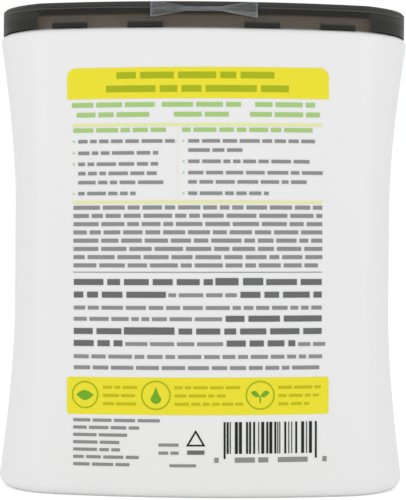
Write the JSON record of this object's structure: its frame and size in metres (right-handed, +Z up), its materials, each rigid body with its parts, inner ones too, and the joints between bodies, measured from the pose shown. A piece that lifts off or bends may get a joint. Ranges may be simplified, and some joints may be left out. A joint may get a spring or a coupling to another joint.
{
  "type": "dishwasher tablet tub",
  "caption": "Waisted blow-moulded tub with a smoky press-fit closure, a bow-tie hinged flap and a tamper tab, filled with film-wrapped tablets.",
  "frame": {"origin": "centre of the base's footprint, on the surface it stands on", "axes": "+Z up, +Y towards the thumb notch where the flap opens, -Y towards the hinge and the printed panel, +X across the width"},
  "size_m": [0.141, 0.085, 0.1645],
  "materials": {
    "tub_white": "satin white moulded plastic",
    "smoky_clear": "smoky translucent moulded plastic",
    "wrap_film": "clear film over pressed powder"
  },
  "bodies": {
    "container": {"tub": "tub_white", "lid_ring": "smoky_clear", "tear_tab": "smoky_clear", "dish_pack_01": "wrap_film", "dish_pack_02": "wrap_film", "dish_pack_03": "wrap_film", "dish_pack_04": "wrap_film", "dish_pack_05": "wrap_film", "dish_pack_06": "wrap_film", "dish_pack_07": "wrap_film", "dish_pack_08": "wrap_film", "dish_pack_09": "wrap_film", "dish_pack_10": "wrap_film", "dish_pack_11": "wrap_film", "dish_pack_12": "wrap_film", "dish_pack_13": "wrap_film", "dish_pack_14": "wrap_film", "dish_pack_15": "wrap_film", "dish_pack_16": "wrap_film", "dish_pack_17": "wrap_film", "dish_pack_18": "wrap_film", "dish_pack_19": "wrap_film", "dish_pack_20": "wrap_film", "dish_pack_21": "wrap_film", "dish_pack_22": "wrap_film", "dish_pack_23": "wrap_film", "dish_pack_24": "wrap_film", "dish_pack_25": "wrap_film", "dish_pack_26": "wrap_film", "dish_pack_27": "wrap_film", "dish_pack_28": "wrap_film", "dish_pack_29": "wrap_film", "dish_pack_30": "wrap_film", "dish_pack_31": "wrap_film", "dish_pack_32": "wrap_film", "dish_pack_33": "wrap_film", "dish_pack_34": "wrap_film", "dish_pack_35": "wrap_film", "dish_pack_36": "wrap_film", "dish_pack_37": "wrap_film", "dish_pack_38": "wrap_film", "dish_pack_39": "wrap_film", "dish_pack_40": "wrap_film", "dish_pack_41": "wrap_film", "dish_pack_42": "wrap_film"},
    "flap": {"flap": "smoky_clear"}
  },
  "joints": [
    {"name": "flap_hinge", "type": "hinge", "parent": "container", "child": "flap", "pos_m": [0, -0.0419, 0.16225], "axis": [1, 0, 0], "range_deg": [0, 130]}
  ]
}
